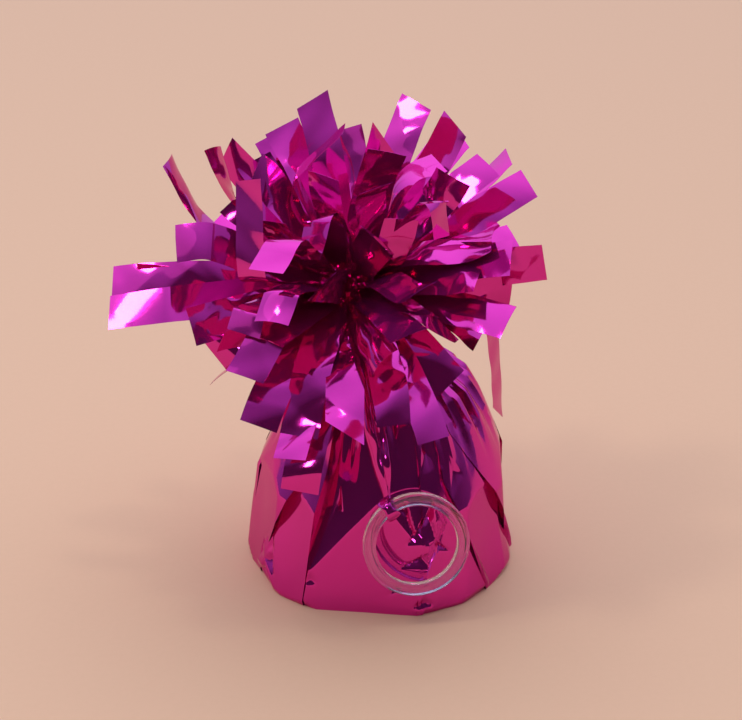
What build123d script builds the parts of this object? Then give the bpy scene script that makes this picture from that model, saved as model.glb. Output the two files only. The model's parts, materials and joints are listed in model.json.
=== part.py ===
from build123d import *

import os
from math import cos, degrees, hypot, radians, sin
from typing import NamedTuple

# Foil balloon weight: a cast block in a thin cup, wrapped in pleated film that is gathered at a
# neck and slit above it into a fringe, with a ribbon ring on a twisted strand of film in front.
# Millimetres and degrees. The origin is the middle of the flat bottom, +Z is up, -Y is the front.

# Film and clearances
FILM = 0.35
STRIP_FILM = 0.25
SEAT = 0.25
REST_GAP = 1.0
CAST_SHRINK = 0.1

# Wrap: from the flat bottom over the shoulder to the neck, which rises above the shoulder
BASE_RADIUS = 30.2
HEEL_HEIGHT = 2.0
HEEL_INSET = 1.0
SHOULDER_RADIUS = 24.4
SHOULDER_HEIGHT = 32.0
SHOULDER_LEAN = 1.1
NECK_RADIUS = 6.8
NECK_RISE = 24.0
NECK_LEAN = -6.5
HOLLOW_TOP_SHARE = 0.79
PLEAT_DEPTH_BASE = 0.6
PLEAT_DEPTH_NECK = 2.2
PLEAT_HALF_ANGLE = 2.0
PLEAT_BEARINGS = [-166, -140, -124, -75, -52, -38, -14, 12, 40, 62, 95, 122, 150, 172]

# Neck stem, crown knob and the tie round the stem: the tie starts a little above the neck, and the
# crown's middle stands above the tie
STEM_RADIUS = 4.6
CROWN_RADIUS = 6.5
CROWN_RISE = 6.0
TIE_RISE = 1.0
TIE_WIDTH = 3.0
TIE_THICKNESS = 0.8
TIE_TAIL_LENGTH = 9.0
TIE_TAIL_BEARING = 80.0
TIE_TAIL_DROP = 38.0
TIE_TAIL_TURN = 45.0
TIE_TAIL_STEPS = 6

# Ballast cup, upside down, and the block cast in it
CUP_WALL = 0.6
CUP_RIM_WIDTH = 0.8
CUP_RIM_HEIGHT = 1.2

# Ribbon ring, leaning on the wrap
RING_BORE = 17.5
RING_BAND = 2.7
RING_THICKNESS = 2.2
RING_EDGE = 0.9
RING_HEIGHT = 18.6
RING_BEARING = -75.0
RING_FACING = -82.0
RING_TILT = 12.0

# Twisted strand from the tie to the ring
STRAND_WIDTH = 2.4
STRAND_THICKNESS = 0.9
STRAND_TURN = 45.0
STRAND_STEPS = 20
STRAND_BOW = 3.2
STRAND_ROOT_BEARING = -80.0
KNUCKLE_RADIUS = 1.6
EYE_WALL = 0.6
EYE_WIDTH = 2.4
EYE_ANGLE = 34.0
EYE_CLEARANCE = 0.35

# Fringe strips: each leaves the crown along a bearing and a rise, rolled about its own length,
# bends evenly about its width and may have one sharp fold part of the way along
STRIP_WIDTH = 8.0
STRIP_ROOT_WIDTH = 1.2
STRIP_FLARE_LENGTH = 18.0
STRIP_LENGTH = 36.0
STRIP_STEPS = 5
FOLD_LENGTH = 1.8


class Strip(NamedTuple):
    bearing: float
    rise: float
    roll: float = 0
    bend: float = 0
    extra: float = 0
    fold: float = 0
    fold_share: float = 0.6


FRINGE = [
    # sweeping out to the left
    Strip(175, 8, roll=5, bend=-55, extra=8),
    Strip(-160, 24, roll=-45, extra=-2, fold=50, fold_share=0.85),
    Strip(162, -4, roll=-10, bend=-15, extra=4),
    Strip(176, 1, roll=-40, extra=9),
    Strip(-166, 0, roll=-60, extra=10),
    Strip(-148, 0, roll=-50, extra=-4),
    Strip(-152, -20, roll=8, bend=10, extra=-8),
    # knee and folded ends at the front left
    Strip(-135, 19, roll=18, extra=6, fold=-90, fold_share=0.55),
    Strip(-115, 34, fold=60, fold_share=0.82),
    Strip(-114, 22, fold=75, fold_share=0.82),
    Strip(-125, 13, extra=-1, fold=70, fold_share=0.86),
    Strip(-118, 7, extra=1, fold=32, fold_share=0.78),
    # standing up at the back left
    Strip(172, 22, roll=-20, bend=-60, extra=3),
    Strip(152, 39, roll=-20, extra=-3),
    Strip(127, 42, roll=-15, extra=-4),
    Strip(130, 56, extra=-5),
    Strip(118, 68, extra=-2),
    Strip(180, 65, fold=-70),
    # standing up at the back right
    Strip(40, 73, roll=70, extra=-10),
    Strip(57, 51, roll=10, fold=-10, fold_share=0.5),
    Strip(44, 40, roll=15),
    Strip(54, 30, roll=30, extra=5),
    Strip(36, 24, roll=-5, extra=5),
    Strip(10, 46, roll=35, bend=40, extra=-6),
    Strip(17, 24, roll=45, extra=2),
    Strip(-42, 48, fold=125, fold_share=0.8),
    # sweeping out to the right
    Strip(26, 4, roll=45, extra=-2),
    Strip(-10, 12, roll=50),
    Strip(-26, 21, roll=35, bend=5, extra=-3),
    Strip(-38, 6, roll=42, bend=5, extra=-2),
    Strip(-19, -8, extra=10, fold=75, fold_share=0.56),
    Strip(-61, 10, roll=35, extra=-2, fold=80, fold_share=0.75),
    Strip(-40, -22, roll=20, bend=10, extra=-12),
    # short ones in the middle of the front
    Strip(-74, 16, roll=15, bend=10, extra=-2),
    Strip(-84, 2, roll=45, bend=20, extra=-10),
    Strip(-112, 54, extra=-6, fold=130, fold_share=0.72),
    Strip(-122, 70, extra=-12),
    # hanging over the front of the wrap
    Strip(-122, -14, bend=30, extra=-2),
    Strip(-108, -7, bend=42, extra=-2),
    Strip(-110, -24, bend=20, extra=1),
    Strip(-110, -42, bend=10, extra=4),
    Strip(-92, -10, bend=38, extra=-4),
    Strip(-73, -4, bend=40, extra=-2),
    Strip(-60, -15, bend=50, extra=-2),
    Strip(-42, -36, bend=20, extra=-6),
    # round the back
    Strip(142, -24, bend=20),
    Strip(146, 8, bend=20),
    Strip(118, -20, bend=20),
    Strip(92, 40, bend=20),
    Strip(112, 12, bend=20),
    Strip(80, 14, bend=20),
    Strip(90, -16, bend=20),
    Strip(58, -8, bend=20),
]

# Short strips that fill the burst between the long ones
INNER_FRINGE = [
    # low ones round the sides and the back
    Strip(75, -25, roll=-50, extra=-8),
    Strip(100, -25, roll=50, extra=-8),
    Strip(15, -20, roll=-50, extra=-8),
    Strip(40, -20, roll=-50, extra=-8),
    Strip(175, -20, extra=-8),
    Strip(-145, -15, roll=-25, extra=-8),
    Strip(-15, -15, extra=-12),
    Strip(115, -15, extra=-8),
    Strip(145, -15, extra=-8),
    Strip(-175, -10, extra=-8),
    Strip(85, -10, extra=-8),
    Strip(-135, -5, roll=90, extra=-8),
    Strip(125, -5, extra=-8),
    # level ones
    Strip(-30, 0, roll=50, extra=-8),
    Strip(-5, 0, roll=90, extra=-8),
    Strip(70, 0, extra=-8),
    Strip(95, 0, extra=-8),
    Strip(10, 5, extra=-8),
    Strip(40, 5, roll=25, extra=-8),
    Strip(110, 5, extra=-12),
    Strip(-20, 10, roll=90, extra=-8),
    Strip(20, 15, roll=25, extra=-8),
    Strip(50, 15, roll=25, extra=-8),
    # rising ones
    Strip(-35, 20, roll=50, extra=-8),
    Strip(-10, 20, roll=50, extra=-8),
    Strip(125, 20, roll=-25, extra=-8),
    Strip(150, 20, roll=-25, extra=-8),
    Strip(-95, 25, roll=90, extra=-8),
    Strip(-65, 25, extra=-8),
    Strip(65, 25, extra=-8),
    Strip(95, 25, extra=-8),
    Strip(135, 30, roll=25, extra=-8),
    Strip(-25, 35, extra=-8),
    Strip(75, 35, roll=-50, extra=-8),
    # steep ones
    Strip(-155, 40, roll=-50, extra=-14),
    Strip(-80, 40, roll=-50, extra=-8),
    Strip(-55, 40, roll=-25, extra=-14),
    Strip(175, 40, roll=-25, extra=-12),
    Strip(-140, 45, extra=-12),
    Strip(145, 45, extra=-8),
    Strip(-10, 50, roll=50, extra=-8),
    Strip(-170, 55, extra=-8),
    Strip(90, 55, roll=-50, extra=-8),
    Strip(-70, 60, roll=50, extra=-8),
    Strip(30, 60, roll=-25, extra=-8),
    Strip(-30, 75, roll=-50, extra=-8),
]

neck_height = SHOULDER_HEIGHT + NECK_RISE
tie_height = neck_height + TIE_RISE + TIE_WIDTH / 2
crown_height = tie_height + TIE_WIDTH / 2 + CROWN_RISE

# The side wall swells and the shoulder curves in: shares of the height and of the narrowing
SIDE_PROFILE = [(0.44, 0.20), (0.75, 0.57), (1.0, 1.0)]
SHOULDER_PROFILE = [(0.25, 0.14), (0.5, 0.31), (HOLLOW_TOP_SHARE, 0.70), (1.0, 1.0)]


def bearing_vector(bearing, rise=0.0):
    """Unit vector at a bearing round Z and a rise above level."""
    level = cos(radians(rise))
    return Vector(level * cos(radians(bearing)), level * sin(radians(bearing)), sin(radians(rise)))


def mix(start, end, share):
    return start + (end - start) * share


def wrap_sections():
    """Height, ridge radius and sideways lean of the wrap, from the heel to the neck."""
    sections = [(0.0, BASE_RADIUS - HEEL_INSET, 0.0), (HEEL_HEIGHT, BASE_RADIUS, 0.0)]
    for height_share, narrowing in SIDE_PROFILE:
        height = SHOULDER_HEIGHT * height_share
        radius = mix(BASE_RADIUS, SHOULDER_RADIUS, narrowing)
        sections.append((height, radius, SHOULDER_LEAN * narrowing))
    for height_share, narrowing in SHOULDER_PROFILE:
        height = mix(SHOULDER_HEIGHT, neck_height, height_share)
        radius = mix(SHOULDER_RADIUS, NECK_RADIUS, narrowing)
        sections.append((height, radius, mix(SHOULDER_LEAN, NECK_LEAN, narrowing**2)))
    return sections


def pleat_depth(height):
    return mix(PLEAT_DEPTH_BASE, PLEAT_DEPTH_NECK, height / neck_height)


def pleat_outline(height, radius, lean, inset):
    """Corners of one level of the wrap: each panel runs from a valley to a ridge and steps in."""
    valley = radius - pleat_depth(height)
    slip = degrees(inset / radius)
    corners = []
    for bearing in PLEAT_BEARINGS:
        ridge_corner = bearing_vector(bearing - PLEAT_HALF_ANGLE - slip) * (radius - inset)
        valley_corner = bearing_vector(bearing + PLEAT_HALF_ANGLE - slip) * (valley - inset)
        corners.append((ridge_corner.X + lean, ridge_corner.Y))
        corners.append((valley_corner.X + lean, valley_corner.Y))
    return corners


def wrap_radius(height):
    """Ridge radius of the wrap at a height, straight between its sections."""
    sections = wrap_sections()
    for (low, low_radius, _), (high, high_radius, _) in zip(sections, sections[1:]):
        if height <= high:
            return mix(low_radius, high_radius, (height - low) / (high - low))
    return NECK_RADIUS


def panel_radius(height):
    """Radius that fits inside the middle of the widest panel, behind the film."""
    spans = [b - a for a, b in zip(PLEAT_BEARINGS, PLEAT_BEARINGS[1:])]
    chord = (wrap_radius(height) - pleat_depth(height)) * cos(radians(max(spans) / 2))
    return chord - FILM - SEAT


# Foil wrap: a pleated shell with a flat bottom, closed at the neck by the bunched stem and crown
crown = Vector(NECK_LEAN, 0, crown_height)
with BuildPart() as foil_wrap:
    for height, radius, lean in wrap_sections():
        with BuildSketch(Plane.XY.offset(height)):
            Polygon(*pleat_outline(height, radius, lean, 0), align=None)
    loft(ruled=True)
    hollow_top = mix(SHOULDER_HEIGHT, neck_height, HOLLOW_TOP_SHARE)
    for height, radius, lean in wrap_sections():
        if height <= hollow_top:
            with BuildSketch(Plane.XY.offset(max(height, FILM))):
                Polygon(*pleat_outline(height, radius, lean, FILM), align=None)
    loft(ruled=True, mode=Mode.SUBTRACT)
    with BuildSketch(Plane(origin=(NECK_LEAN, 0, neck_height - FILM))):
        Circle(STEM_RADIUS)
    extrude(amount=crown_height - neck_height + FILM)
    with Locations(crown):
        Sphere(CROWN_RADIUS)
foil_wrap.part.label = "foil_wrap"

# Ballast cup: a thin tapered cup with a rim, mouth down on the film
cup_floor = FILM + SEAT
cup_top = SHOULDER_HEIGHT - FILM - SEAT
cup_rim_radius = panel_radius(0)
cup_mouth_radius = cup_rim_radius - CUP_RIM_WIDTH
cup_top_radius = panel_radius(SHOULDER_HEIGHT)
with BuildPart() as ballast_cup:
    with BuildSketch(Plane.XZ):
        with BuildLine():
            Polyline(
                (0, cup_top),
                (cup_top_radius, cup_top),
                (cup_mouth_radius, cup_floor + CUP_RIM_HEIGHT),
                (cup_rim_radius, cup_floor + CUP_RIM_HEIGHT),
                (cup_rim_radius, cup_floor),
                (cup_mouth_radius - CUP_WALL, cup_floor),
                (cup_top_radius - CUP_WALL, cup_top - CUP_WALL),
                (0, cup_top - CUP_WALL),
                close=True,
            )
        make_face()
    revolve(axis=Axis.Z)
ballast_cup.part.label = "ballast_cup"

# Ballast block: the casting, shrunk a little from the cup and level with its rim
block_inset = CUP_WALL + CAST_SHRINK
with BuildPart() as ballast_block:
    with BuildSketch(Plane.XZ):
        with BuildLine():
            Polyline(
                (0, cup_floor),
                (cup_mouth_radius - block_inset, cup_floor),
                (cup_top_radius - block_inset, cup_top - block_inset),
                (0, cup_top - block_inset),
                close=True,
            )
        make_face()
    revolve(axis=Axis.Z)
ballast_block.part.label = "ballast_block"

# Twist tie: a flat band round the stem with its twisted tail at the back
tie_bore = STEM_RADIUS + SEAT
tie_radius = tie_bore + TIE_THICKNESS
tie_centre = Vector(NECK_LEAN, 0, tie_height)
tail_root = tie_centre + bearing_vector(TIE_TAIL_BEARING) * (tie_bore + TIE_THICKNESS / 2)
tail_way = bearing_vector(TIE_TAIL_BEARING, -TIE_TAIL_DROP)
with BuildPart() as twist_tie:
    with BuildSketch(Plane(origin=(NECK_LEAN, 0, tie_height - TIE_WIDTH / 2))):
        Circle(tie_radius)
        Circle(tie_bore, mode=Mode.SUBTRACT)
    extrude(amount=TIE_WIDTH)
    for step in range(TIE_TAIL_STEPS + 1):
        place = tail_root + tail_way * (TIE_TAIL_LENGTH * step / TIE_TAIL_STEPS)
        tail_plane = Plane(origin=place, x_dir=bearing_vector(TIE_TAIL_BEARING + 90), z_dir=tail_way)
        with BuildSketch(tail_plane.rotated((0, 0, TIE_TAIL_TURN * step))):
            Rectangle(TIE_THICKNESS, TIE_WIDTH)
    loft(ruled=True)
    with BuildSketch(Plane(origin=(NECK_LEAN, 0, tie_height - TIE_WIDTH))):
        Circle(tie_bore)
    extrude(amount=2 * TIE_WIDTH, mode=Mode.SUBTRACT)
twist_tie.part.label = "twist_tie"

# Ribbon ring: it leans on the wrap at its lowest and highest points
ring_radius = (RING_BORE + RING_BAND) / 2
ring_reach = ring_radius + RING_BAND / 2
ring_rise = ring_reach * cos(radians(RING_TILT))
ring_lean = ring_reach * sin(radians(RING_TILT))
lean_on_heel = wrap_radius(RING_HEIGHT - ring_rise) - ring_lean
lean_on_wall = wrap_radius(RING_HEIGHT + ring_rise) + ring_lean
ring_stand = max(lean_on_heel, lean_on_wall) + RING_THICKNESS / 2 + REST_GAP
ring_centre = bearing_vector(RING_BEARING) * ring_stand + Vector(0, 0, RING_HEIGHT)
ring_plane = Plane(
    origin=ring_centre,
    x_dir=bearing_vector(RING_FACING + 90),
    z_dir=bearing_vector(RING_FACING, RING_TILT),
)
with BuildPart() as ring:
    with BuildSketch(Plane(origin=ring_centre, x_dir=ring_plane.x_dir, z_dir=-ring_plane.y_dir)):
        with Locations((ring_radius, 0)):
            RectangleRounded(RING_BAND, RING_THICKNESS, RING_EDGE)
    revolve(axis=Axis(ring_centre, ring_plane.z_dir))
ring.part.label = "ring"

# Ring strand: a twisted strip from a knuckle at the tie down to an eye round the ring
eye_turn = radians(EYE_ANGLE)
eye_side = ring_plane.y_dir * cos(eye_turn) - ring_plane.x_dir * sin(eye_turn)
eye_centre = ring_centre + eye_side * ring_radius
eye_axis = ring_plane.x_dir * cos(eye_turn) + ring_plane.y_dir * sin(eye_turn)
ring_corner = hypot(RING_BAND / 2 - RING_EDGE, RING_THICKNESS / 2 - RING_EDGE) + RING_EDGE
eye_bore = ring_corner + EYE_CLEARANCE
eye_radius = eye_bore + EYE_WALL
knuckle_reach = tie_radius + SEAT + KNUCKLE_RADIUS
strand_root = tie_centre + bearing_vector(STRAND_ROOT_BEARING) * knuckle_reach
strand_chord = eye_centre - strand_root
strand_out = strand_chord.cross(Vector(1, 0, 0)).normalized()
strand_middle = strand_root + strand_chord * 0.5 + strand_out * STRAND_BOW
with BuildLine() as strand_line:
    ThreePointArc(strand_root, strand_middle, eye_centre)
strand_path = strand_line.edge()
strand_share = 1 - (eye_bore + EYE_WALL / 2) / strand_path.length
with BuildPart() as ring_strand:
    with Locations(strand_root):
        Sphere(KNUCKLE_RADIUS)
    with BuildSketch(Plane(origin=eye_centre - eye_axis * (EYE_WIDTH / 2), z_dir=eye_axis)):
        Circle(eye_radius)
        Circle(eye_bore, mode=Mode.SUBTRACT)
    extrude(amount=EYE_WIDTH)
    for step in range(STRAND_STEPS + 1):
        share = strand_share * step / STRAND_STEPS
        strand_plane = Plane(origin=strand_path @ share, x_dir=(1, 0, 0), z_dir=strand_path % share)
        with BuildSketch(strand_plane.rotated((0, 0, STRAND_TURN * step))):
            Rectangle(STRAND_WIDTH, STRAND_THICKNESS)
    loft(ruled=True)
    with BuildSketch(Plane(origin=eye_centre - eye_axis * EYE_WIDTH, z_dir=eye_axis)):
        Circle(eye_bore)
    extrude(amount=2 * EYE_WIDTH, mode=Mode.SUBTRACT)
ring_strand.part.label = "ring_strand"


def fold_shares(strip, length):
    """Shares of a strip's length where its fold begins, is half done and ends."""
    half = FOLD_LENGTH / length / 2
    return [strip.fold_share - half, strip.fold_share, strip.fold_share + half]


def strip_turns(strip, length):
    """Shares of a strip's length that get a cross-section, each with how far the strip has turned."""
    shares = [step / STRIP_STEPS for step in range(STRIP_STEPS + 1)]
    if not strip.fold:
        return [(share, strip.bend * share) for share in shares]
    begin, half_done, end = fold_shares(strip, length)
    before = [(share, strip.bend * share) for share in shares if share < 2 * begin - half_done]
    after = [(share, strip.bend * share + strip.fold) for share in shares if share > 2 * end - half_done]
    folding = [
        (begin, strip.bend * begin),
        (half_done, strip.bend * half_done + strip.fold / 2),
        (end, strip.bend * end + strip.fold),
    ]
    return before + folding + after


def strip_planes(strip):
    """Cross-section planes along a strip's arc, each with the width of the film there."""
    length = STRIP_LENGTH + strip.extra
    out = bearing_vector(strip.bearing, strip.rise)
    level = bearing_vector(strip.bearing + 90)
    lift = out.cross(level)
    across = level * cos(radians(strip.roll)) + lift * sin(radians(strip.roll))
    face = out.cross(across)
    place = crown + out * (CROWN_RADIUS + SEAT)
    last_share = last_turn = 0.0
    planes = []
    for share, turn in strip_turns(strip, length):
        middle = radians((turn + last_turn) / 2)
        place += (out * cos(middle) - face * sin(middle)) * (length * (share - last_share))
        along = out * cos(radians(turn)) - face * sin(radians(turn))
        flare = min(share * length / STRIP_FLARE_LENGTH, 1)
        width = mix(STRIP_ROOT_WIDTH, STRIP_WIDTH, flare)
        planes.append((Plane(origin=place, x_dir=across, z_dir=along), width))
        last_share, last_turn = share, turn
    return planes


def film_strip(strip):
    """One strip of film, lofted through its cross-sections."""
    with BuildPart() as film:
        for plane, width in strip_planes(strip):
            with BuildSketch(plane):
                Rectangle(width, STRIP_FILM)
        loft(ruled=True)
    return film.part


# Fringe strips: one separate strip of film for each row
fringe_strips = []
for number, strip in enumerate(FRINGE, start=1):
    with BuildPart() as fringe_strip:
        add(film_strip(strip))
    fringe_strip.part.label = f"fringe_strip_{number:02d}"
    fringe_strips.append(fringe_strip.part)

# Inner strips: the short strips as one group of separate solids
with BuildPart() as inner_strips:
    for strip in INNER_FRINGE:
        add(film_strip(strip))
inner_strips.part.label = "inner_strips"

os.makedirs("parts", exist_ok=True)
pieces = [foil_wrap, ballast_cup, ballast_block, twist_tie, ring, ring_strand, inner_strips]
for piece in [builder.part for builder in pieces] + fringe_strips:
    export_step(piece, f"parts/{piece.label}.step")

print("strand root", strand_root, "eye centre", eye_centre, "eye axis", eye_axis)
print("ring centre", ring_centre, "ring facing", ring_plane.z_dir)
print("strand length", strand_path.length)
print("inner strips", len(inner_strips.part.solids()))
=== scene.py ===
"""Foil balloon weight: metallised film wrap, burst fringe, ribbon ring on a twisted strand."""
import json
import math
from typing import NamedTuple

import bpy
import numpy as np
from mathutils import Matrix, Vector


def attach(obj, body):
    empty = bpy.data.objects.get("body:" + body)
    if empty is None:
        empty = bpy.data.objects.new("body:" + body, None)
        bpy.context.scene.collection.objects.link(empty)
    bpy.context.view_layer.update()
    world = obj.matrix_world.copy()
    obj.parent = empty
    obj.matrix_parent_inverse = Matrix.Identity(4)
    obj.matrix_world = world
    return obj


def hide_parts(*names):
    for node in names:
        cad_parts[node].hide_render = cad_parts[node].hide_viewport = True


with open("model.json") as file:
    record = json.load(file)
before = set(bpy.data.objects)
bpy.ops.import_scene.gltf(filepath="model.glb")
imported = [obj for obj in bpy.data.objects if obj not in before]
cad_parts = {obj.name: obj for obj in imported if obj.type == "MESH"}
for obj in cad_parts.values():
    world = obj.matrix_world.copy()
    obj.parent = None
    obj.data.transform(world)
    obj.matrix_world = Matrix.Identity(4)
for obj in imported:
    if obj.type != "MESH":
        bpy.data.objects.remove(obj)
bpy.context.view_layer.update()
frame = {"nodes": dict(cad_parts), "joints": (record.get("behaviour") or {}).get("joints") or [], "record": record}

# Lengths are in millimetres until a mesh is written, angles in degrees
MM = 0.001

# View of the photograph: 742 by 720 pixels, focal length in pixels, clip distances in metres
IMAGE_WIDTH = 742
FOCAL_PIXELS = 2200
SENSOR = 36.0
CAMERA_DISTANCE = 480.0
CAMERA_ELEVATION = 27.0
CAMERA_TARGET = np.array([-2.0, 0.0, 48.0])
CAMERA_CLIP = (0.01, 10)

# Wrap sizes
BASE_RADIUS = 30.2
HEEL_HEIGHT = 2.0
HEEL_INSET = 1.0
SHOULDER_RADIUS = 24.4
SHOULDER_HEIGHT = 32.0
SHOULDER_LEAN = 1.1
NECK_RADIUS = 6.8
NECK_HEIGHT = 56.0
NECK_LEAN = -6.5
CROWN_RADIUS = 6.5
CROWN_HEIGHT = 66.0
CROWN = np.array([NECK_LEAN, 0.0, CROWN_HEIGHT])

# Fringe sizes
FILM = 0.04
STRIP_WIDTH = 8.0
STRIP_LENGTH = 36.0
STRIP_FLARE = 10.0
ROOT_CURL = 25.0
FOLD_LENGTH = 1.8
ROOT_SINK = 1.2
ALONG_COUNT = 73
ACROSS_COUNT = 13

# How handling leaves a strip: shares of its length or of the row's own value, degrees and millimetres
ROOT_SQUEEZE = 0.4
WAVE_COUNT = (0.7, 1.4)
TWIST_SPREAD = 14.0
CREASE_HEADING = 55.0
CREASE_PLACE = (0.4, 0.9)
CREASE_SPREAD = (0.5, 1.2)
CREASE_SOFTNESS = 0.1
RIPPLE_LENGTH = 9.0
RIPPLE_SKEW = 14.0
SLANT_POWER = 4
INNER_HANDLING = {"wave": 24, "creases": 4, "crease": 0.2}
INNER_TWIST = 30
INNER_SEED = 100

# Ring sizes
RING_BORE = 17.5
RING_BAND = 2.7
RING_THICKNESS = 2.2
RING_EDGE = 0.5
RING_DISH = 0.12

# Strand sizes: one strip of film gone through the ring and back, so that two limbs hang side by side
LIMB_WIDTH = 2.9
LIMB_THICKNESS = 1.3
LIMB_SPREAD = 0.9
SPREAD_POWER = 1.5
LIMB_ROOT = 0.4
LIMB_FULL = 0.7
LIMB_PINCH = 0.45
PINCH_START = 0.8
LIMB_BACK = np.array([0.0, 1.0, 0.3])
STRAND_BOW = 3.2
WRINKLE_HEIGHT = 0.4
WRINKLE_COUNT = 3.5
EYE_REACH = 2.35
EYE_WIDTH = 2.5
EYE_THICKNESS = 0.44
EYE_LOBES = 3
EYE_LOBE_HEIGHT = 0.25
EYE_LOBE_START = 0.6
EYE_WRINKLES = 7
EYE_WRINKLE_HEIGHT = 0.08

# Studio: the floor's half side, where the lamps aim, and the way to the brightest part of the sky
FLOOR_HALF = 2500.0
LAMP_AIM = Vector((0, 0, 50))
SKY_WAY = (0.0, 0.55, 0.75)
SKY_RANGE = (-0.1, 0.9)
SKY_LOW = (0.03, 0.03, 0.042, 1)
SKY_MIDDLE = (0.45, 0.5, 0.75, 1)
SKY_TOP = (1.3, 1.4, 1.88, 1)
BACKDROP = "#c9aea0"


class Strip(NamedTuple):
    """One strip of the fringe: its way out of the crown and how the film is bent, creased and cut.

    Angles are in degrees. The extra adds to the usual length, the fold lies at a share of the length,
    and the strip's end is cut askew by the slant. A crease is a slope, and a ripple a height in
    millimetres.
    """
    bearing: float
    rise: float
    roll: float = 0
    bend: float = 0
    extra: float = 0
    fold: float = 0
    fold_share: float = 0.6
    cup: float = 12
    wave: float = 8
    twist: float = 0
    slant: float = 0.0
    creases: int = 4
    crease: float = 0.12
    ripple: float = 0.08


FRINGE = [
    # sweeping out to the left
    Strip(175, 8, roll=5, bend=-55, extra=8, cup=20, twist=-5),
    Strip(-160, 24, roll=-45, extra=-2, fold=50, fold_share=0.85, twist=-14),
    Strip(162, -4, roll=-10, bend=-15, extra=4, twist=28, slant=0.4),
    Strip(176, 1, roll=-62, extra=9, wave=12, creases=5, crease=0.22),
    Strip(-166, 0, roll=-60, extra=10, fold=26, fold_share=0.72, cup=3, wave=4, twist=24, creases=0,
          ripple=0.02),
    Strip(-148, 0, roll=-50, extra=-4, creases=3),
    Strip(-152, -20, roll=8, bend=10, extra=-8, twist=14, slant=0.8),
    # knee and folded ends at the front left
    Strip(-135, 19, roll=18, bend=-12, extra=6, fold=-86, fold_share=0.55, cup=6, wave=6, creases=3),
    Strip(-115, 34, fold=76, fold_share=0.82, cup=4),
    Strip(-114, 22, fold=58, fold_share=0.82, cup=45, twist=-8, creases=1),
    Strip(-125, 13, extra=-1, fold=70, fold_share=0.86, cup=4),
    Strip(-118, 7, extra=1, fold=44, fold_share=0.78, cup=6, twist=-20, crease=0.16),
    # standing up at the back left
    Strip(172, 22, roll=-20, bend=-60, extra=3, cup=30, twist=65, slant=0.5),
    Strip(152, 39, roll=-20, extra=-3, twist=-75, slant=-0.3),
    Strip(127, 42, roll=-15, extra=-4, cup=25),
    Strip(130, 56, extra=-5, slant=-0.15),
    Strip(118, 68, extra=-2, slant=-0.35, crease=0.03),
    Strip(180, 65, fold=-70, fold_share=0.6, cup=4, wave=0, creases=0),
    # standing up at the back right
    Strip(40, 73, roll=70, extra=-10, slant=0.9),
    Strip(57, 51, roll=10, fold=-10, fold_share=0.5, cup=6, slant=0.25),
    Strip(44, 40, roll=15, slant=0.4),
    Strip(54, 30, roll=30, extra=5, slant=0.6),
    Strip(36, 24, roll=-5, extra=5, slant=0.5, creases=0),
    Strip(10, 46, roll=35, bend=40, extra=-6, creases=6, crease=0.22),
    Strip(17, 24, roll=45, extra=2, creases=3),
    Strip(-42, 48, fold=125, fold_share=0.8, cup=4, wave=0, slant=0.2),
    # sweeping out to the right
    Strip(26, 4, roll=45, extra=-2),
    Strip(-10, 12, roll=50, cup=4, wave=3, twist=32, creases=1, crease=0.03),
    Strip(-26, 21, roll=35, bend=5, extra=-3, cup=6, wave=4, twist=12, creases=1),
    Strip(-38, 6, roll=42, bend=5, extra=-2, cup=16, wave=3, twist=4, creases=1, crease=0.04),
    Strip(-19, -8, extra=10, fold=75, fold_share=0.56, cup=4, wave=4, twist=-8, slant=0.8, creases=0),
    Strip(-61, 10, roll=35, extra=-2, fold=80, fold_share=0.75, cup=4, twist=-68, slant=0.5),
    Strip(-40, -22, roll=20, bend=10, extra=-12),
    # short ones in the middle of the front
    Strip(-74, 16, roll=15, bend=10, extra=-2),
    Strip(-84, 2, roll=45, bend=20, extra=-10, cup=70),
    Strip(-112, 54, extra=-6, fold=112, fold_share=0.72, cup=4, wave=0, twist=25, creases=0),
    Strip(-122, 70, extra=-12),
    # hanging over the front of the wrap
    Strip(-122, -14, bend=30, extra=-2, twist=-35),
    Strip(-108, -7, bend=48, extra=-2),
    Strip(-110, -24, bend=20, extra=1, cup=4, creases=1),
    Strip(-110, -42, bend=10, extra=4),
    Strip(-92, -10, bend=52, extra=-4, twist=-14, slant=0.6),
    Strip(-73, -4, bend=40, extra=-2, creases=5, crease=0.16),
    Strip(-60, -15, bend=50, extra=-2),
    Strip(-42, -36, bend=20, extra=-6),
    # round the back
    Strip(142, -24, bend=20),
    Strip(146, 8, bend=20),
    Strip(118, -20, bend=20),
    Strip(92, 40, bend=20),
    Strip(112, 12, bend=20),
    Strip(80, 14, bend=20),
    Strip(90, -16, bend=20),
    Strip(58, -8, bend=20),
]

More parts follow.
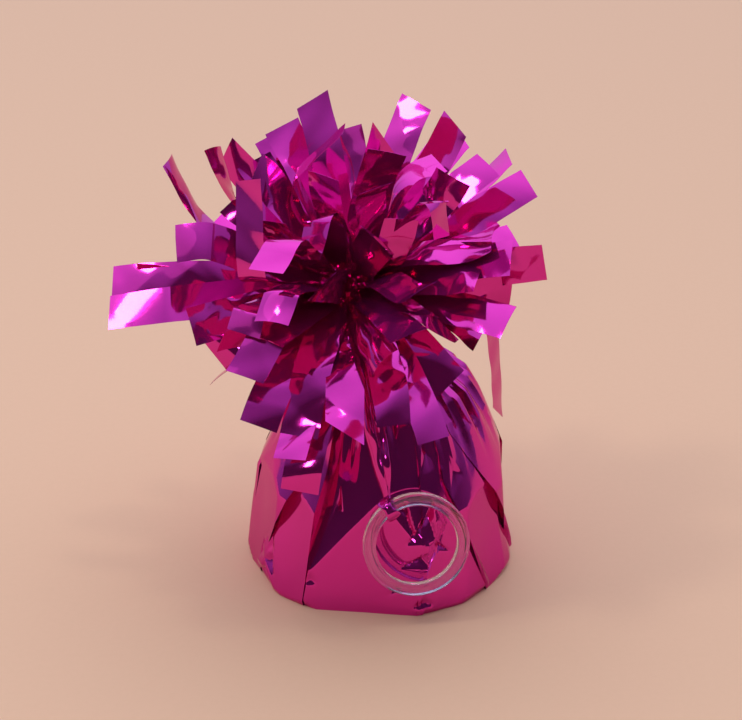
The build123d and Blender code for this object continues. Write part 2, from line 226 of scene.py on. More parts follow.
# Short strips that fill the burst between the long ones
INNER_FRINGE = [
    # low ones round the sides and the back
    Strip(75, -25, roll=-50, extra=-8),
    Strip(100, -25, roll=50, extra=-8),
    Strip(15, -20, roll=-50, extra=-8),
    Strip(40, -20, roll=-50, extra=-8),
    Strip(175, -20, extra=-8),
    Strip(-145, -15, roll=-25, extra=-8),
    Strip(-15, -15, extra=-12),
    Strip(115, -15, extra=-8),
    Strip(145, -15, extra=-8),
    Strip(-175, -10, extra=-8),
    Strip(85, -10, extra=-8),
    Strip(-135, -5, roll=90, extra=-8),
    Strip(125, -5, extra=-8),
    # level ones
    Strip(-30, 0, roll=50, extra=-8),
    Strip(-5, 0, roll=90, extra=-8),
    Strip(70, 0, extra=-8),
    Strip(95, 0, extra=-8),
    Strip(10, 5, extra=-8),
    Strip(40, 5, roll=25, extra=-8),
    Strip(110, 5, extra=-12),
    Strip(-20, 10, roll=90, extra=-8),
    Strip(20, 15, roll=25, extra=-8),
    Strip(50, 15, roll=25, extra=-8),
    # rising ones
    Strip(-35, 20, roll=50, extra=-8),
    Strip(-10, 20, roll=50, extra=-8),
    Strip(125, 20, roll=-25, extra=-8),
    Strip(150, 20, roll=-25, extra=-8),
    Strip(-95, 25, roll=90, extra=-8),
    Strip(-65, 25, extra=-8),
    Strip(65, 25, extra=-8),
    Strip(95, 25, extra=-8),
    Strip(135, 30, roll=25, extra=-8),
    Strip(-25, 35, extra=-8),
    Strip(75, 35, roll=-50, extra=-8),
    # steep ones
    Strip(-155, 40, roll=-50, extra=-14),
    Strip(-80, 40, roll=-50, extra=-8),
    Strip(-55, 40, roll=-25, extra=-14),
    Strip(175, 40, roll=-25, extra=-12),
    Strip(-140, 45, extra=-12),
    Strip(145, 45, extra=-8),
    Strip(-10, 50, roll=50, extra=-8),
    Strip(-170, 55, extra=-8),
    Strip(90, 55, roll=-50, extra=-8),
    Strip(-70, 60, roll=50, extra=-8),
    Strip(30, 60, roll=-25, extra=-8),
    Strip(-30, 75, roll=-50, extra=-8),
]


class Facet(NamedTuple):
    """A flat of stretched film: the bearing it faces, its upward tilt, and its reach at a height."""
    bearing: float
    tilt: float
    height: float
    reach: float


class Pleat(NamedTuple):
    """A fold line of the wrap, with the panel that follows it going round.

    The line starts at a bearing and leans per millimetre of height up to a top. The pleat opens to one
    side, with a gap that is deepest at a height. The panel's film turns in above its knee or along the
    facets given, and its bottom edge is cut straight by the heel's flats.
    """
    bearing: float
    lean: float = 0.0
    lean_top: float = 32.0
    side: int = 1
    depth: float = 0.6
    deepest: float = 18.0
    knee: float = 25.0
    facets: tuple = ()
    heel: tuple = ()


LEFT_HEEL = Facet(-157, -20, 0, 28.4)
PLEATS = [
    Pleat(-184, 0.3, 30, -1, 0.3, 20, 26, heel=(LEFT_HEEL,)),
    Pleat(-159.5, 0.89, 30, 1, 2.0, 22, 26, heel=(LEFT_HEEL,)),
    Pleat(-125, 0.13, 32, 1, 0.8, 16, 27, (Facet(-116, 20, 14.2, 27.2), Facet(-76, 21, 27, 24.6))),
    Pleat(-71.5, 0.1, 24, 1, 0.25, 10, 29, (Facet(-56, 20, 25, 26.4), Facet(-75, 24, 27, 25.6))),
    Pleat(-36.5, -0.8, 30, -1, 1.0, 12, 32),
    Pleat(-1.5, -1.24, 39, -1, 1.8, 14, 32),
    Pleat(24, -0.3, 32, -1, 0.9, 18, 26),
    Pleat(48, -0.2, 32, -1, 0.8, 14, 22),
    Pleat(76, 0.0, 32, 1, 1.2, 20, 25),
    Pleat(104, 0.15, 32, 1, 0.7, 15, 27),
    Pleat(131, 0.2, 32, 1, 1.3, 18, 23),
    Pleat(155, 0.25, 32, 1, 0.8, 16, 26),
]
# Corners of the folded bottom edge that fade out above it
HEEL_CORNERS = [-138, -52, -14, 12, 62, 118]
HEEL_CORNER_REACH = 0.5
HEEL_CORNER_SPREAD = 9.0
HEEL_FADE = 8.0


class Dent(NamedTuple):
    """A crumple: three corners by bearing and height, the weights of its lowest point, and its depth."""
    first: tuple
    second: tuple
    third: tuple
    weights: tuple
    depth: float


DENTS = [
    # star in the ring's hole
    Dent((-88, 25), (-74, 17), (-79, 27), (0.25, 0.2, 0.55), 1.7),
    Dent((-80, 16.5), (-66, 17.5), (-66, 27), (0.2, 0.2, 0.6), 2.2),
    Dent((-83, 11), (-69, 11.5), (-70, 15.5), (0.2, 0.2, 0.6), 1.2),
    Dent((-66, 15), (-57, 13.5), (-67, 18), (0.25, 0.25, 0.5), 0.8),
    # flats under the neck
    Dent((-119, 17), (-111, 22), (-116, 29), (0.3, 0.3, 0.4), 0.3),
    Dent((-73, 31), (-58, 33), (-66, 41), (0.3, 0.3, 0.4), 0.5),
    Dent((-58, 26), (-48, 30), (-55, 36), (0.3, 0.3, 0.4), 0.35),
    # bottom edge
    Dent((-90, 3.2), (-80, 8.5), (-78, 7), (0.3, 0.35, 0.35), 0.4),
    Dent((-77, 1.5), (-66, 2), (-71, 5.5), (0.35, 0.3, 0.35), 0.7),
    Dent((-161, 3), (-152, 6), (-157, 10), (0.3, 0.3, 0.4), 1.0),
    Dent((-152, 6), (-142, 3), (-146, 9.5), (0.3, 0.3, 0.4), 1.0),
    Dent((-158, 1.4), (-146, 1.2), (-151, 5.6), (0.3, 0.3, 0.4), 1.1),
    Dent((-151, 8), (-144, 9), (-148, 13), (0.3, 0.3, 0.4), 0.5),
    Dent((-125, 5.5), (-119, 6), (-123, 9.5), (0.4, 0.3, 0.3), 0.5),
    Dent((56, 2), (68, 2), (63, 8), (0.3, 0.3, 0.4), 0.8),
    Dent((146, 2), (157, 4), (149, 9), (0.3, 0.3, 0.4), 0.8),
]


class Gather(NamedTuple):
    """A run of gathers round the neck: how many and how deep, and the slow sway of their spacing."""
    count: int
    depth: float
    sway: float
    sway_count: int
    sway_start: float = 0.0


GATHERS = [Gather(23, 0.75, 0.35, 3), Gather(41, 0.3, 0.5, 2, 40)]
GATHER_START = 27.0
GATHER_LENGTH = 20.0
# Slow swell of the film: waves round the wrap, and millimetres of height that turn each by a radian
SWELL_WAVES = [(7, 5.0), (4, -7.0)]
SWELL_HEIGHT = 0.08

# Panels and knob: upward tilts of the flats, and heights with radii
LOWER_TILT = 4.9
UPPER_TILT = 17.5
SHOULDER_LINE = np.array([(20, 29.6), (32, 24.4), (38, 21.9), (44, 18.9), (51, 12.1), (56, 6.8)])
KNOB_LINE = np.array([(57.5, 4.7), (60.5, 4.6), (62.0, 5.2), (64.0, 6.2), (66.0, 6.5), (68.5, 6.0),
                      (70.8, 4.4), (72.0, 2.4), (72.5, 0.02)])
KNOB_PLEATS = 31
KNOB_PLEAT_DEPTH = 0.1
PLEAT_TUCK = 1.6
PLEAT_REST = 0.2
PLEAT_SPREAD = 11.0
BOTTOM_CLOSE = 0.02
NECK_CLOSE = 0.6
NECK_CLOSE_RISE = 0.6
COLUMNS_PER_DEGREE = 1.7
TUCK_COUNT = 4
HEEL_COUNT = 5
WALL_COUNT = 120
KNOB_COUNT = 120


def unit(vectors):
    """Vectors scaled to length one."""
    return vectors / np.linalg.norm(vectors, axis=-1, keepdims=True)


def bearing_vector(bearing, rise=0.0):
    """Unit vectors at bearings round Z and rises above level, in degrees."""
    bearing, rise = np.radians(bearing), np.radians(rise)
    level = np.cos(rise)
    parts = np.broadcast_arrays(level * np.cos(bearing), level * np.sin(bearing), np.sin(rise))
    return np.stack(parts, axis=-1)


def smooth_step(x):
    """Rises smoothly from 0 to 1 while x goes from 0 to 1."""
    x = np.clip(x, 0, 1)
    return x * x * (3 - 2 * x)


def tri_wave(x):
    """Triangle wave between -1 and 1 with period 1: flat facets that meet in creases."""
    return 4 * np.abs(x - np.floor(x + 0.5)) - 1


def linear(hex_colour):
    """sRGB hex to linear RGBA."""
    srgb = np.array([int(hex_colour[i:i + 2], 16) for i in (1, 3, 5)]) / 255
    rgb = np.where(srgb <= 0.04045, srgb / 12.92, ((srgb + 0.055) / 1.055) ** 2.4)
    return (*rgb.tolist(), 1.0)


def add_node(tree, kind, inputs=None, **settings):
    """One shader node: its settings, then each input set to a value or linked from a socket."""
    node = tree.nodes.new(kind)
    for key, value in settings.items():
        setattr(node, key, value)
    for key, value in (inputs or {}).items():
        if isinstance(value, bpy.types.NodeSocket):
            tree.links.new(value, node.inputs[key])
        else:
            node.inputs[key].default_value = value
    return node


def new_material(name):
    """Empty node material and its tree."""
    material = bpy.data.materials.new(name)
    material.use_nodes = True
    material.node_tree.nodes.clear()
    return material, material.node_tree


def per_mm(size):
    """Texture scale, per metre, of a pattern whose features are this many millimetres apart."""
    return 1 / (size * MM)


def metallised_film():
    """Vacuum-metallised polyester film under magenta lacquer: a tinted mirror with handling crinkles."""
    material, tree = new_material("metallised_film_magenta")
    place = add_node(tree, "ShaderNodeTexCoord").outputs["Object"]
    crinkle = add_node(tree, "ShaderNodeTexVoronoi", {"Vector": place, "Scale": per_mm(6.0)})
    ripple = add_node(tree, "ShaderNodeTexNoise", {"Vector": place, "Scale": per_mm(3.5), "Detail": 2.0})
    folds = add_node(tree, "ShaderNodeBump",
                     {"Height": crinkle.outputs["Distance"], "Strength": 0.06, "Distance": 0.4 * MM})
    relief = add_node(tree, "ShaderNodeBump",
                      {"Height": ripple.outputs["Fac"], "Strength": 0.12, "Distance": 0.1 * MM,
                       "Normal": folds.outputs["Normal"]})
    haze = add_node(tree, "ShaderNodeTexNoise", {"Vector": place, "Scale": per_mm(9.0), "Detail": 3.0})
    rough = add_node(tree, "ShaderNodeMapRange",
                     {"Value": haze.outputs["Fac"], "From Min": 0.3, "From Max": 0.7,
                      "To Min": 0.05, "To Max": 0.12})
    shader = add_node(tree, "ShaderNodeBsdfPrincipled",
                      {"Base Color": linear("#dd2aa3"), "Metallic": 0.85,
                       "Roughness": rough.outputs["Result"], "Normal": relief.outputs["Normal"],
                       "Specular Tint": linear("#e686bb"), "Coat Weight": 0.45, "Coat Roughness": 0.04,
                       "Coat Normal": relief.outputs["Normal"]})
    add_node(tree, "ShaderNodeOutputMaterial", {"Surface": shader.outputs["BSDF"]})
    return material


def clear_polystyrene():
    """Injection-moulded clear polystyrene: glassy and a little milky, with faint flow ripples."""
    material, tree = new_material("clear_moulded_polystyrene")
    place = add_node(tree, "ShaderNodeTexCoord").outputs["Object"]
    flow = add_node(tree, "ShaderNodeTexNoise", {"Vector": place, "Scale": per_mm(1.6), "Detail": 2.0})
    relief = add_node(tree, "ShaderNodeBump",
                      {"Height": flow.outputs["Fac"], "Strength": 0.2, "Distance": 0.05 * MM})
    shader = add_node(tree, "ShaderNodeBsdfPrincipled",
                      {"Base Color": linear("#fdf0fb"), "Transmission Weight": 0.95, "IOR": 1.5,
                       "Specular Tint": linear("#ffe6f4"), "Roughness": 0.05,
                       "Normal": relief.outputs["Normal"]})
    add_node(tree, "ShaderNodeOutputMaterial", {"Surface": shader.outputs["BSDF"]})
    return material


def grainy_matte(name, dark, light, grain, bump, roughness):
    """Matte surface with two close tones in a grain of the given size, and a slight relief."""
    material, tree = new_material(name)
    place = add_node(tree, "ShaderNodeTexCoord").outputs["Object"]
    grains = add_node(tree, "ShaderNodeTexNoise", {"Vector": place, "Scale": per_mm(grain), "Detail": 4.0})
    tone = add_node(tree, "ShaderNodeValToRGB", {"Fac": grains.outputs["Fac"]})
    tone.color_ramp.elements[0].color = linear(dark)
    tone.color_ramp.elements[1].color = linear(light)
    relief = add_node(tree, "ShaderNodeBump",
                      {"Height": grains.outputs["Fac"], "Strength": 0.5, "Distance": bump * MM})
    shader = add_node(tree, "ShaderNodeBsdfPrincipled",
                      {"Base Color": tone.outputs["Color"], "Roughness": roughness,
                       "Normal": relief.outputs["Normal"]})
    add_node(tree, "ShaderNodeOutputMaterial", {"Surface": shader.outputs["BSDF"]})
    return material


def grid_faces(rows, columns, wrap_rows=False, wrap_columns=False):
    """Quads over a grid of points stored row by row, joined round where a side wraps."""
    row = np.arange(rows if wrap_rows else rows - 1)[:, None]
    column = np.arange(columns if wrap_columns else columns - 1)[None, :]
    next_row, next_column = (row + 1) % rows, (column + 1) % columns
    corners = (row * columns + column, row * columns + next_column,
               next_row * columns + next_column, next_row * columns + column)
    return np.stack([np.broadcast_to(c, (row.size, column.size)) for c in corners], -1).reshape(-1, 4)


def mesh_object(name, points, faces, material, crease=40.0):
    """Smooth-shaded mesh from points in millimetres, sharp at open edges and where facets meet steeply."""
    mesh = bpy.data.meshes.new(name)
    faces = faces.tolist() if isinstance(faces, np.ndarray) else faces
    mesh.from_pydata((points.reshape(-1, 3) * MM).tolist(), [], faces)
    mesh.polygons.foreach_set("use_smooth", np.ones(len(faces), bool))
    mesh.set_sharp_from_angle(angle=math.radians(crease))
    sharp = np.empty(len(mesh.edges), bool)
    mesh.edges.foreach_get("use_edge_sharp", sharp)
    edges = np.empty(len(mesh.loops), np.int32)
    mesh.loops.foreach_get("edge_index", edges)
    mesh.edges.foreach_set("use_edge_sharp", sharp | (np.bincount(edges, minlength=len(sharp)) == 1))
    mesh.materials.append(material)
    piece = bpy.data.objects.new(name, mesh)
    bpy.context.scene.collection.objects.link(piece)
    return piece


def put(piece, body, node):
    """Puts a finished piece on its body, in place of its CAD node."""
    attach(piece, body)
    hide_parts(node)


def thicken(piece, thickness):
    """Gives a sheet its thickness, half to each side."""
    solid = piece.modifiers.new("film", "SOLIDIFY")
    solid.thickness = thickness * MM
    solid.offset = 0
    return piece


def strip_points(strip, draw):
    """Film strip as a grid of length by width.

    The middle line starts in the crown and turns evenly by the bend, by the fold within a short length
    and by a slow wave, and the strip turns about it by the twist. The section is an arc, balanced about
    the middle line: narrow at the root, and open to the full width and the cup's angle past the flare.
    Beyond each random straight crease the film tilts by the crease's slope, and a fine ripple crosses
    the whole strip.
    """
    length = STRIP_LENGTH + strip.extra + ROOT_SINK
    share = np.linspace(0, 1, ALONG_COUNT)
    half_fold = FOLD_LENGTH / length / 2
    fold = smooth_step((share - strip.fold_share + half_fold) / (2 * half_fold))
    waves = share * draw.uniform(*WAVE_COUNT) + draw.uniform(0, 1)
    sway = strip.wave * np.sin(2 * math.pi * waves) * share
    turn = np.radians(strip.bend * share + strip.fold * fold + sway)[:, None]
    out = bearing_vector(strip.bearing, strip.rise)
    level = bearing_vector(strip.bearing + 90)
    lift = np.cross(out, level)
    roll = math.radians(strip.roll)
    across = level * math.cos(roll) + lift * math.sin(roll)
    face = np.cross(out, across)
    along = out * np.cos(turn) - face * np.sin(turn)
    normal = face * np.cos(turn) + out * np.sin(turn)
    steps = np.diff(share)[:, None] * length * (along[1:] + along[:-1]) / 2
    start = CROWN + out * (CROWN_RADIUS - ROOT_SINK)
    middle = start + np.concatenate([np.zeros((1, 3)), np.cumsum(steps, 0)])
    twist = np.radians((strip.twist + draw.uniform(-TWIST_SPREAD, TWIST_SPREAD)) * share)[:, None]
    side = across * np.cos(twist) + normal * np.sin(twist)
    normal = normal * np.cos(twist) - across * np.sin(twist)

    flat_x = np.linspace(-0.5, 0.5, ACROSS_COUNT)[None, :] * STRIP_WIDTH
    flat_y = share[:, None] * length
    opening = smooth_step(flat_y / STRIP_FLARE)
    curl = np.radians(ROOT_CURL + (strip.cup - ROOT_CURL) * opening)
    squeeze = ROOT_SQUEEZE + (1 - ROOT_SQUEEZE) * opening
    radius = STRIP_WIDTH * squeeze / curl
    angle = flat_x / STRIP_WIDTH * curl
    x = radius * np.sin(angle)
    height = radius * (np.cos(angle) - np.cos(curl / 3))
    for _ in range(strip.creases):
        heading = math.radians(draw.uniform(-CREASE_HEADING, CREASE_HEADING))
        offset = draw.uniform(*CREASE_PLACE) * length
        past = (flat_y - offset) * math.cos(heading) + flat_x * math.sin(heading)
        slope = strip.crease * draw.choice((-1, 1)) * draw.uniform(*CREASE_SPREAD)
        height = height + slope * (past + np.sqrt(past**2 + CREASE_SOFTNESS)) / 2
    ripples = flat_y / RIPPLE_LENGTH + flat_x / RIPPLE_SKEW + draw.uniform(0, 1)
    height = height + strip.ripple * np.sin(2 * math.pi * ripples) * opening
    shear = strip.slant * flat_x * share[:, None] ** SLANT_POWER
    return (middle[:, None, :] + side[:, None, :] * x[..., None]
            + normal[:, None, :] * height[..., None] + along[:, None, :] * shear[..., None])


def inner_fringe(material):
    """The short strips as one group of separate sheets, on every second point of the grid."""
    grids = []
    for number, strip in enumerate(INNER_FRINGE):
        strip = strip._replace(twist=(-1) ** number * INNER_TWIST, **INNER_HANDLING)
        grids.append(strip_points(strip, np.random.default_rng(INNER_SEED + number))[::2, ::2])
    faces = grid_faces(*grids[0].shape[:2])
    firsts = np.arange(len(grids))[:, None, None] * grids[0].shape[0] * grids[0].shape[1]
    return mesh_object("film_inner_strips", np.stack(grids), (faces + firsts).reshape(-1, 4), material)


film = metallised_film()
strip_faces = grid_faces(ALONG_COUNT, ACROSS_COUNT)
for number, strip in enumerate(FRINGE, start=1):
    node = f"fringe_strip_{number:02d}"
    points = strip_points(strip, np.random.default_rng(number))
    put(thicken(mesh_object(f"film_{node}", points, strip_faces, film), FILM), "weight", node)
put(thicken(inner_fringe(film), FILM), "weight", "inner_strips")


def shoulder_radius(height):
    """Radius of the gathered shoulder, straight between its points and out of the way below them."""
    radius = np.interp(height, SHOULDER_LINE[:, 0], SHOULDER_LINE[:, 1])
    return np.where(height < SHOULDER_LINE[0, 0], BASE_RADIUS, radius)


def lean_at(height):
    """Sideways offset of the wrap's middle: it leans towards the neck above the shoulder."""
    narrowing = np.clip((SHOULDER_RADIUS - shoulder_radius(height)) / (SHOULDER_RADIUS - NECK_RADIUS), 0, 1)
    side = SHOULDER_LEAN * np.clip(height / SHOULDER_HEIGHT, 0, 1)
    return side + (NECK_LEAN - SHOULDER_LEAN) * narrowing**2


def facet_radius(facet, bearing, height):
    """Distance from the axis to a flat, along a bearing at a height."""
    reach = facet.reach - (height - facet.height) * math.tan(math.radians(facet.tilt))
    return reach / np.clip(np.cos(np.radians(bearing - facet.bearing)), 0.3, 1)


def pleat_bearing(pleat, height):
    """Bearing of a fold line at a height."""
    return pleat.bearing + pleat.lean * np.minimum(height, pleat.lean_top)


def pleat_gap(pleat, height):
    """Depth of a pleat's gap: it swells towards its deepest height and keeps a rest elsewhere."""
    return PLEAT_REST + pleat.depth * np.exp(-((height - pleat.deepest) / PLEAT_SPREAD) ** 2)


def panel_radius(pleat, following, bearing, height):
    """Film of one panel: the least of its lower flat, its upper flats, the wall's cone and the shoulder."""
    middle_height = SHOULDER_HEIGHT / 2
    first, last = pleat_bearing(pleat, middle_height), pleat_bearing(following, middle_height)
    half_span = ((last - first) % 360) / 2
    facing = first + half_span
    lower = Facet(facing, LOWER_TILT, 0, BASE_RADIUS * math.cos(math.radians(half_span)))
    knee_reach = lower.reach - pleat.knee * math.tan(math.radians(LOWER_TILT))
    upper = pleat.facets or (Facet(facing, UPPER_TILT, pleat.knee, knee_reach),)
    cone = BASE_RADIUS - height * math.tan(math.radians(LOWER_TILT)) + 0 * bearing
    heel = BASE_RADIUS - HEEL_INSET * np.clip(1 - height / HEEL_HEIGHT, 0, 1) + 0 * bearing
    flats = [facet_radius(facet, bearing, height) for facet in (lower, *upper, *pleat.heel)]
    return np.minimum.reduce([*flats, cone, heel, shoulder_radius(height) + 0 * bearing])


def wrap_columns(height):
    """Bearing and radius of every column of the wrap, for a column of heights.

    Going round, each pleat has an outer fold and an inner fold tucked behind it; which comes first
    follows the side that the pleat opens to. Between two pleats lies one panel.
    """
    bearings, radii = [], []
    tuck_share = np.linspace(0, 1, TUCK_COUNT + 2)[None, 1:-1]
    tuck = math.degrees(PLEAT_TUCK / BASE_RADIUS)
    for number, pleat in enumerate(PLEATS):
        following = PLEATS[(number + 1) % len(PLEATS)]
        around = 360 if number + 1 == len(PLEATS) else 0
        gap_here, gap_next = pleat_gap(pleat, height), pleat_gap(following, height)
        span = following.bearing + around - pleat.bearing
        share = np.linspace(0, 1, int(span * COLUMNS_PER_DEGREE))[None, :]
        first = pleat_bearing(pleat, height) - tuck * (pleat.side > 0)
        fold = pleat_bearing(following, height) + around
        last = fold + tuck * (following.side < 0)
        bearing = first + (last - first) * share
        inset = gap_here * (pleat.side > 0) * (1 - share) + gap_next * (following.side < 0) * share
        radius = panel_radius(pleat, following, bearing, height)
        bearings.append(bearing)
        radii.append(radius - inset * radius / BASE_RADIUS)
        way = tuck_share if following.side > 0 else 1 - tuck_share
        bearings.append(fold - following.side * tuck * way)
        fold_radius = radii[-1][:, -1:] + gap_next * (following.side < 0)
        radii.append(fold_radius - gap_next * way)
    return np.concatenate(bearings, 1), np.concatenate(radii, 1)


def dent_depth(bearing, height):
    """Sum of the crumples: three-sided hollows, straight from each edge to the lowest point."""
    total = 0 * bearing
    for dent in DENTS:
        (x1, y1), (x2, y2), (x3, y3) = dent.first, dent.second, dent.third
        x, y = (bearing - x3 + 180) % 360 - 180, height - y3
        area = (x1 - x3) * (y2 - y3) - (x2 - x3) * (y1 - y3)
        one = (x * (y2 - y3) - y * (x2 - x3)) / area
        two = (y * (x1 - x3) - x * (y1 - y3)) / area
        sides = [share / weight for share, weight in zip((one, two, 1 - one - two), dent.weights)]
        total = total + dent.depth * np.clip(np.minimum.reduce(sides), 0, 1)
    return total


def wrap_points():
    """Film wrap as a grid of height by bearing: panels, tucked pleats, crumples and gathers."""
    heel_rows = np.linspace(0, HEEL_HEIGHT, HEEL_COUNT)
    height = np.concatenate([heel_rows, np.linspace(HEEL_HEIGHT, NECK_HEIGHT, WALL_COUNT)[1:]])[:, None]
    bearing, radius = wrap_columns(height)
    heel = np.clip(1 - height / HEEL_FADE, 0, 1)
    corner = np.min([np.abs((bearing - c + 180) % 360 - 180) for c in HEEL_CORNERS], axis=0)
    radius = radius + HEEL_CORNER_REACH * heel * np.clip(1 - corner / HEEL_CORNER_SPREAD, 0, 1)
    radius = radius - dent_depth(bearing, height)
    gathered = smooth_step((height - GATHER_START) / GATHER_LENGTH)
    for run in GATHERS:
        sway = run.sway * np.sin(np.radians(bearing * run.sway_count + run.sway_start))
        radius = radius + gathered * run.depth * tri_wave(bearing / 360 * run.count + sway)
    waves = [np.sin(np.radians(bearing * count) + height / rise) for count, rise in SWELL_WAVES]
    radius = radius + SWELL_HEIGHT * np.prod(waves, axis=0) * (1 - height / NECK_HEIGHT)
    angle = np.radians(bearing)
    return np.stack([radius * np.cos(angle) + lean_at(height), radius * np.sin(angle),
                     height + 0 * bearing], -1)


def knob_points():
    """Stem and crown: a pleated tube that swells into a bunched knob, closed at its top."""
    bearing = np.linspace(0, 2 * math.pi, KNOB_COUNT, endpoint=False)[None, :]
    height, radius = KNOB_LINE[:, :1], KNOB_LINE[:, 1:]
    pleats = 1 + KNOB_PLEAT_DEPTH * tri_wave(bearing / (2 * math.pi) * KNOB_PLEATS)
    return np.stack([radius * pleats * np.cos(bearing) + NECK_LEAN, radius * pleats * np.sin(bearing),
                     height + 0 * bearing], -1)


def foil_wrap(material):
    """The wrap and its flat bottom as one closed surface, with the knob on the neck."""
    wall = wrap_points()
    columns = wall.shape[1]
    bottom = wall[:1] * np.array([BOTTOM_CLOSE, BOTTOM_CLOSE, 1.0])
    neck_middle = np.array([NECK_LEAN * (1 - NECK_CLOSE), 0, NECK_CLOSE_RISE])
    top = wall[-1:] * np.array([NECK_CLOSE, NECK_CLOSE, 1.0]) + neck_middle
    grid = np.concatenate([bottom, wall, top])
    knob = knob_points()
    faces = grid_faces(len(grid), columns, wrap_columns=True).tolist()
    faces += [np.arange(columns)[::-1].tolist(), (np.arange(columns) + grid[:-1].size // 3).tolist()]
    faces += (grid_faces(len(knob), KNOB_COUNT, wrap_columns=True) + grid.size // 3).tolist()
    points = np.concatenate([grid.reshape(-1, 3), knob.reshape(-1, 3)])
    return mesh_object("film_wrap", points, faces, material, crease=24)


put(foil_wrap(film), "weight", "foil_wrap")

# Places of the ring and the strand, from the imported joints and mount
joints = {joint["name"]: joint for joint in frame["joints"]}
mounts = {mount["name"]: mount for mount in frame["record"]["mounts"]}
strand_root = np.array(joints["strand_swing"]["pos_m"]) / MM
eye_centre = np.array(joints["ring_swing"]["pos_m"]) / MM
eye_axis = unit(np.array(joints["ring_swing"]["axis"], float))
ring_centre = np.array(mounts["ribbon_ring"]["pos_m"]) / MM
ring_axis = unit(np.array(mounts["ribbon_ring"]["axis"], float))


def ring_points(around=180, corner=9, dish=7):
    """Moulded ring: a rectangle with rounded edges and shallow dished faces, carried round the axis."""
    half = np.array([RING_BAND, RING_THICKNESS]) / 2 - RING_EDGE
    section = []
    for turn, sx, sy in ((0, 1, 1), (90, -1, 1), (180, -1, -1), (270, 1, -1)):
        angle = np.radians(np.linspace(0, 90, corner) + turn)
        section.append(np.stack([sx * half[0] + RING_EDGE * np.cos(angle),
                                 sy * half[1] + RING_EDGE * np.sin(angle)], -1))
        if turn in (0, 180):
            share = np.linspace(0, 1, dish + 2)[1:-1]
            face = sy * (RING_THICKNESS / 2 - RING_DISH * np.sin(math.pi * share) ** 0.5)
            section.append(np.stack([sx * half[0] * (1 - 2 * share), face], -1))
    section = np.concatenate(section)
    side = unit(np.cross(np.array([0, 0, 1.0]), ring_axis))
    up = np.cross(ring_axis, side)
    way = np.linspace(0, 2 * math.pi, around, endpoint=False)
    spoke = side * np.cos(way)[:, None] + up * np.sin(way)[:, None]
    reach = (RING_BORE + RING_BAND) / 2 + section[:, 0]
    return (ring_centre + spoke[:, None, :] * reach[None, :, None]
            + ring_axis * section[None, :, 1, None])


points = ring_points()
ring_faces = grid_faces(len(points), points.shape[1], True, True)[:, ::-1]
ring = mesh_object("moulded_ring", points, ring_faces, clear_polystyrene(), crease=60)
put(ring, "ring", "ring")


class Limb(NamedTuple):
    """One limb of the strand: the side it hangs on, its turn in degrees and where its wrinkles start."""
    side: int
    turn: float
    phase: float


LIMBS = [Limb(-1, 40, 0.1), Limb(1, 15, 0.45)]


def limb_points(limb, count=120, around=24):
    """One limb of the strand: a flat oval section carried along a shallow arc, bowed to one side.

    The section turns along the way, is widest low down and pinched at both ends, and rises and falls
    in crosswise wrinkles.
    """
    share = np.linspace(0, 1, count)[:, None]
    chord = eye_centre - strand_root
    bow = unit(np.cross(chord, [1, 0, 0]))
    end = 1 - EYE_REACH / np.linalg.norm(chord)
    path = strand_root + chord * share * end + bow * STRAND_BOW * 4 * share * (1 - share)
    path = path + np.array([1.0, 0, 0]) * limb.side * LIMB_SPREAD * np.sin(math.pi * share**SPREAD_POWER)
    along = unit(np.gradient(path, axis=0))
    side = unit(np.cross(along, LIMB_BACK))
    face = np.cross(along, side)
    angle = np.linspace(0, 2 * math.pi, around, endpoint=False)[None, :]
    widening = LIMB_ROOT + (1 - LIMB_ROOT) * smooth_step(share / LIMB_FULL)
    pinch = LIMB_PINCH * smooth_step((share - PINCH_START) / (1 - PINCH_START))
    x = LIMB_WIDTH / 2 * np.cos(angle) * (widening - pinch)
    y = LIMB_THICKNESS / 2 * np.sin(angle)
    turn = np.radians(limb.turn * share)
    wrinkles = np.sin(2 * math.pi * (WRINKLE_COUNT * share + limb.phase)) * np.sin(math.pi * share)
    sideways = x * np.cos(turn) - y * np.sin(turn)
    outward = x * np.sin(turn) + y * np.cos(turn) + WRINKLE_HEIGHT * wrinkles
    return path[:, None] + side[:, None] * sideways[..., None] + face[:, None] * outward[..., None]


def eye_points(count=48, around=14):
    """Loop of film round the ring's band: a thin flat section carried round the eye's axis, pinched."""
    way = np.linspace(0, 2 * math.pi, count, endpoint=False)[:, None]
    side = unit(np.cross(eye_axis, ring_axis))
    up = np.cross(eye_axis, side)
    spoke = side * np.cos(way) + up * np.sin(way)
    angle = np.linspace(0, 2 * math.pi, around, endpoint=False)[None, :]
    half_width = EYE_WIDTH / 2 + EYE_LOBE_HEIGHT * np.cos(EYE_LOBES * way + EYE_LOBE_START)
    wrinkles = EYE_WRINKLE_HEIGHT * np.cos(EYE_WRINKLES * way)
    reach = EYE_REACH + EYE_THICKNESS / 2 * np.sin(angle) + wrinkles
    return (eye_centre + spoke[:, None] * reach[..., None]
            + eye_axis * (half_width * np.cos(angle))[..., None])


def twisted_strand(material):
    """The two limbs, closed at their ends, and the loop round the ring as one piece."""
    points, faces, first = [], [], 0
    for limb in LIMBS:
        grid = limb_points(limb)
        rows, columns = grid.shape[:2]
        around = np.arange(columns)
        ends = [(around[::-1] + first).tolist(), (around + first + (rows - 1) * columns).tolist()]
        faces += (grid_faces(rows, columns, wrap_columns=True) + first).tolist() + ends
        points.append(grid.reshape(-1, 3))
        first += rows * columns
    eye = eye_points()
    faces += (grid_faces(*eye.shape[:2], True, True) + first).tolist()
    points.append(eye.reshape(-1, 3))
    return mesh_object("twisted_strand", np.concatenate(points), faces, material, crease=50)


put(twisted_strand(film), "strand", "ring_strand")


def dress(node, material):
    """Gives a CAD node its finish."""
    slots = frame["nodes"][node].data.materials
    slots.clear()
    slots.append(material)


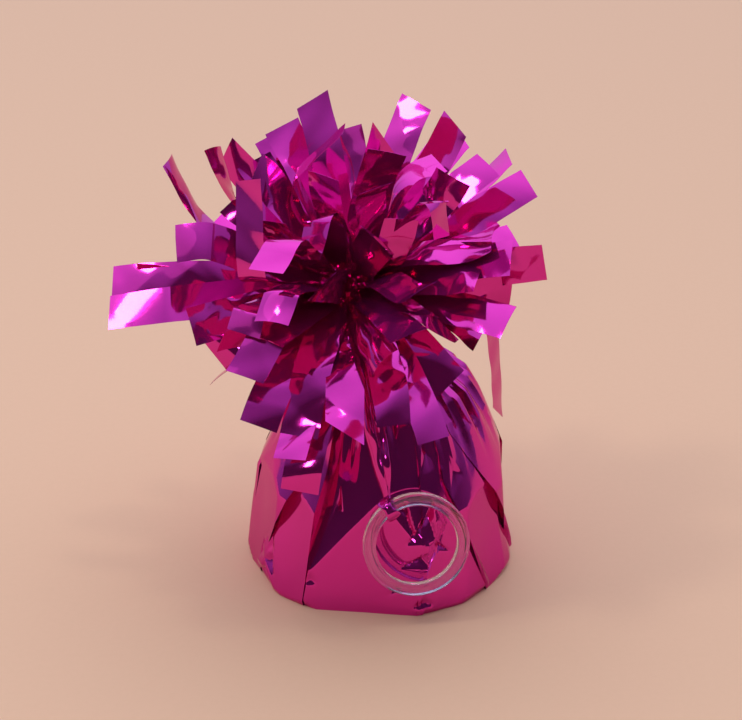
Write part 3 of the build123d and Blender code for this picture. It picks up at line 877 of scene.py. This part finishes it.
dress("twist_tie", grainy_matte("paper_covered_wire", "#b9b6b0", "#d4d1ca", 0.4, 0.05, 0.7))
dress("ballast_cup", grainy_matte("moulded_polypropylene", "#dedcd6", "#e9e7e2", 0.6, 0.02, 0.45))
dress("ballast_block", grainy_matte("cast_mineral", "#8d877f", "#b3ada4", 0.8, 0.2, 0.95))

# Floor
floor_material = grainy_matte("seamless_paper", "#ebbc90", "#eebf93", 1.5, 0.02, 0.9)
corners = np.array([[-1, -1, 0], [1, -1, 0], [1, 1, 0], [-1, 1, 0]]) * FLOOR_HALF
mesh_object("floor", corners, np.array([[0, 1, 2, 3]]), floor_material)


def soft_box(name, place, size, power, colour):
    """Rectangular area lamp at a place, facing the middle of the object, in millimetres and watts."""
    lamp = bpy.data.lights.new(name, "AREA")
    lamp.shape = "RECTANGLE"
    lamp.size, lamp.size_y = size[0] * MM, size[1] * MM
    lamp.energy = power
    lamp.color = linear(colour)[:3]
    holder = bpy.data.objects.new(name, lamp)
    bpy.context.scene.collection.objects.link(holder)
    holder.location = Vector(place) * MM
    holder.rotation_euler = (Vector(place) - LAMP_AIM).to_track_quat("Z", "Y").to_euler()


soft_box("window", (-1100, -200, 900), (1000, 900), 0.9, "#eef2ff")
soft_box("key", (-600, -150, 950), (155, 155), 1.35, "#f4f7ff")
soft_box("top", (160, -60, 1100), (66, 132), 0.55, "#f6f8ff")
soft_box("front", (-150, -950, 500), (70, 110), 0.5, "#f6f8ff")


def surroundings():
    """Sky that is dark low in front and lighter and cooler towards the top and the back.

    The eye itself sees a plain backdrop past the floor's edge, in low views.
    """
    world = bpy.data.worlds.new("studio")
    world.use_nodes = True
    tree = world.node_tree
    tree.nodes.clear()
    way = add_node(tree, "ShaderNodeTexCoord").outputs["Generated"]
    along_sky = add_node(tree, "ShaderNodeVectorMath", {0: way, 1: SKY_WAY}, operation="DOT_PRODUCT")
    low, high = SKY_RANGE
    rise = add_node(tree, "ShaderNodeMapRange",
                    {"Value": along_sky.outputs["Value"], "From Min": low, "From Max": high})
    tint = add_node(tree, "ShaderNodeValToRGB", {"Fac": rise.outputs["Result"]})
    tint.color_ramp.elements[0].color = SKY_LOW
    tint.color_ramp.elements[1].color = SKY_TOP
    tint.color_ramp.elements.new(0.5).color = SKY_MIDDLE
    sky = add_node(tree, "ShaderNodeBackground", {"Color": tint.outputs["Color"], "Strength": 1.0})
    backdrop = add_node(tree, "ShaderNodeBackground", {"Color": linear(BACKDROP), "Strength": 1.0})
    seen = add_node(tree, "ShaderNodeLightPath").outputs["Is Camera Ray"]
    both = add_node(tree, "ShaderNodeMixShader",
                    {"Fac": seen, 1: sky.outputs["Background"], 2: backdrop.outputs["Background"]})
    add_node(tree, "ShaderNodeOutputWorld", {"Surface": both.outputs["Shader"]})
    return world


def photo_camera():
    """Camera of the photograph, level from side to side and aimed at its target."""
    lens = bpy.data.cameras.new("camera")
    lens.sensor_width = SENSOR
    lens.lens = FOCAL_PIXELS / IMAGE_WIDTH * SENSOR
    lens.clip_start, lens.clip_end = CAMERA_CLIP
    camera = bpy.data.objects.new("camera", lens)
    bpy.context.scene.collection.objects.link(camera)
    elevation = math.radians(CAMERA_ELEVATION)
    stand = CAMERA_TARGET + CAMERA_DISTANCE * np.array([0, -math.cos(elevation), math.sin(elevation)])
    camera.location = stand * MM
    camera.rotation_euler = (math.pi / 2 - elevation, 0, 0)
    return camera


bpy.context.scene.world = surroundings()
bpy.context.scene.camera = photo_camera()
bpy.context.scene.view_settings.view_transform = "Standard"
